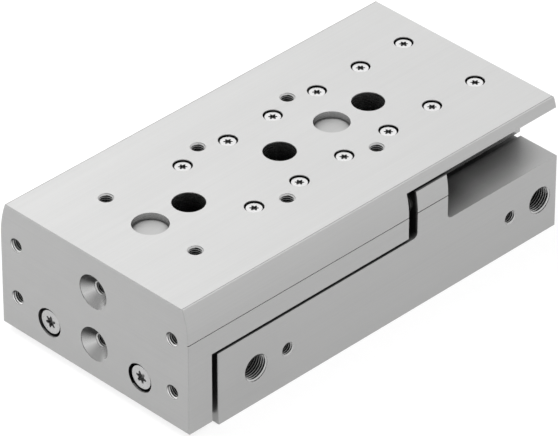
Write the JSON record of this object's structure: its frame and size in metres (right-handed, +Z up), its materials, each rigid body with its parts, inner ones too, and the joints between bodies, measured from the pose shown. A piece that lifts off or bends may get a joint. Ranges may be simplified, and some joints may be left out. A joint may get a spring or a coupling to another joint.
{
  "type": "pneumatic slide table",
  "caption": "Flat double-acting air cylinder with a ball-guided table and drop-down front yoke, threaded and centred for loads on its top and front, with air ports on one side.",
  "frame": {"origin": "on the base face, under the middle of the table's length and width, with the table fully retracted", "axes": "+X along the stroke away from the yoke, +Y to the left side, opposite the ports, +Z up through the table's top"},
  "size_m": [0.1658, 0.0844, 0.049],
  "materials": {
    "anodised_table": "clear anodised, fine lengthwise grain",
    "anodised_housing": "clear anodised, milled",
    "guide_steel": "hardened and ground",
    "ball_steel": "polished",
    "guide_plastic": "moulded",
    "screw_steel": "bright plated",
    "rod_steel": "ground and polished",
    "piston_alloy": "turned",
    "seal_rubber": "moulded",
    "magnet": "plastic-bonded ferrite",
    "bearing_alloy": "turned, anodised",
    "bumper_rubber": "moulded",
    "spring_steel": "phosphated",
    "stop_steel": "blackened",
    "stop_rubber": "moulded"
  },
  "bodies": {
    "housing": {"housing": "anodised_housing", "guide_block": "guide_steel", "guide_block_screws": "screw_steel", "guide_end_cap_front": "guide_plastic", "guide_end_cap_rear": "guide_plastic", "guide_balls_left": "ball_steel", "guide_balls_right": "ball_steel", "rod_bearing_left": "bearing_alloy", "rod_bearing_right": "bearing_alloy", "rod_bearing_oring_left": "seal_rubber", "rod_bearing_oring_right": "seal_rubber", "rod_seal_left": "seal_rubber", "rod_seal_right": "seal_rubber", "front_bumper_left": "bumper_rubber", "front_bumper_right": "bumper_rubber", "front_retaining_ring_left": "spring_steel", "front_retaining_ring_right": "spring_steel", "rear_cap_left": "bearing_alloy", "rear_cap_right": "bearing_alloy", "rear_cap_oring_left": "seal_rubber", "rear_cap_oring_right": "seal_rubber", "rear_bumper_left": "bumper_rubber", "rear_bumper_right": "bumper_rubber", "rear_retaining_ring_left": "spring_steel", "rear_retaining_ring_right": "spring_steel"},
    "table": {"slide_table": "anodised_table", "rail_screws": "screw_steel", "guide_rail_left": "guide_steel", "guide_rail_right": "guide_steel", "rod_screw_left": "screw_steel", "rod_screw_right": "screw_steel", "piston_rod_left": "rod_steel", "piston_rod_right": "rod_steel", "piston_left": "piston_alloy", "piston_right": "piston_alloy", "piston_seal_left": "seal_rubber", "piston_seal_right": "seal_rubber", "piston_magnet_left": "magnet", "piston_magnet_right": "magnet", "piston_guide_ring_left": "guide_plastic", "piston_guide_ring_right": "guide_plastic"},
    "stop_left": {"stop_screw_left": "stop_steel", "stop_buffer_left": "stop_rubber"},
    "stop_right": {"stop_screw_right": "stop_steel", "stop_buffer_right": "stop_rubber"}
  },
  "joints": [
    {"name": "table_slide", "type": "slide", "parent": "housing", "child": "table", "axis": [-1, 0, 0], "range_m": [0, 0.08]},
    {"name": "stop_screw_travel_left", "type": "slide", "parent": "housing", "child": "stop_left", "axis": [1, 0, 0], "range_m": [0, 0.004]},
    {"name": "stop_screw_travel_right", "type": "slide", "parent": "housing", "child": "stop_right", "axis": [1, 0, 0], "range_m": [0, 0.004]}
  ]
}
